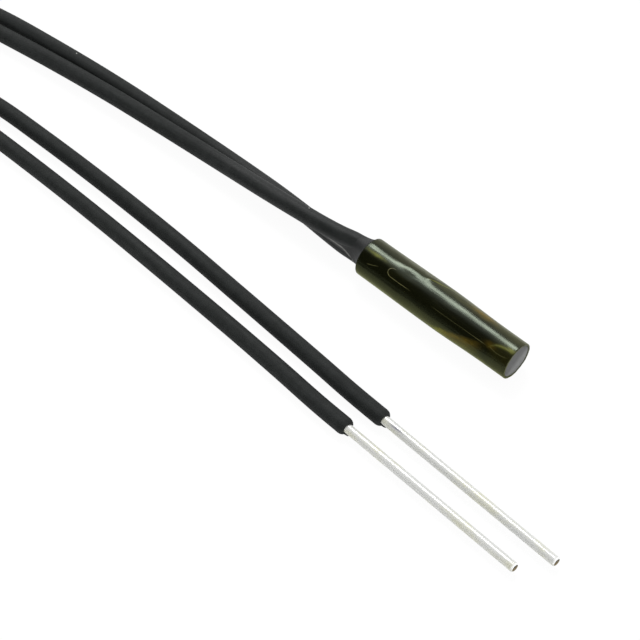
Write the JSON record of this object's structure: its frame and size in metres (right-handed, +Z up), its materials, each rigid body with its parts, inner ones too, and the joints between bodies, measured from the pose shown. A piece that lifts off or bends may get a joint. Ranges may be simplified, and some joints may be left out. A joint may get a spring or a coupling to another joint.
{
  "type": "bead thermistor",
  "caption": "Bead thermistor potted in a glossy amber polyimide sleeve, with two black insulated leads that end in bare tinned wires; senses temperature.",
  "frame": {"origin": "on the surface that it lies on, under the middle of the head (the sleeve with the meniscus of its potting)", "axes": "+X along the sleeve towards its tip, +Z up; the leads leave at -X"},
  "size_m": [0.0414, 0.0117, 0.0014],
  "materials": {
    "polyimide": "clear amber film over dark filling, glossy",
    "epoxy": "dark grey, matte where cut, smooth at the meniscus",
    "oxide": "sintered, dull",
    "glass": "clear, fire polished",
    "platinum": "bright drawn wire",
    "solder": "satin",
    "tinned_copper": "bright tin with fine drawing lines",
    "insulation": "matte black, extruded"
  },
  "bodies": {
    "root": {"polyimide_sleeve": "polyimide", "potting": "epoxy", "sensing_bead": "oxide", "glass_coat": "glass", "bead_wire_1": "platinum", "bead_wire_2": "platinum", "solder_joint_1": "solder", "solder_joint_2": "solder", "conductor_1": "tinned_copper", "conductor_2": "tinned_copper", "insulation_1": "insulation", "insulation_2": "insulation"}
  },
  "joints": []
}
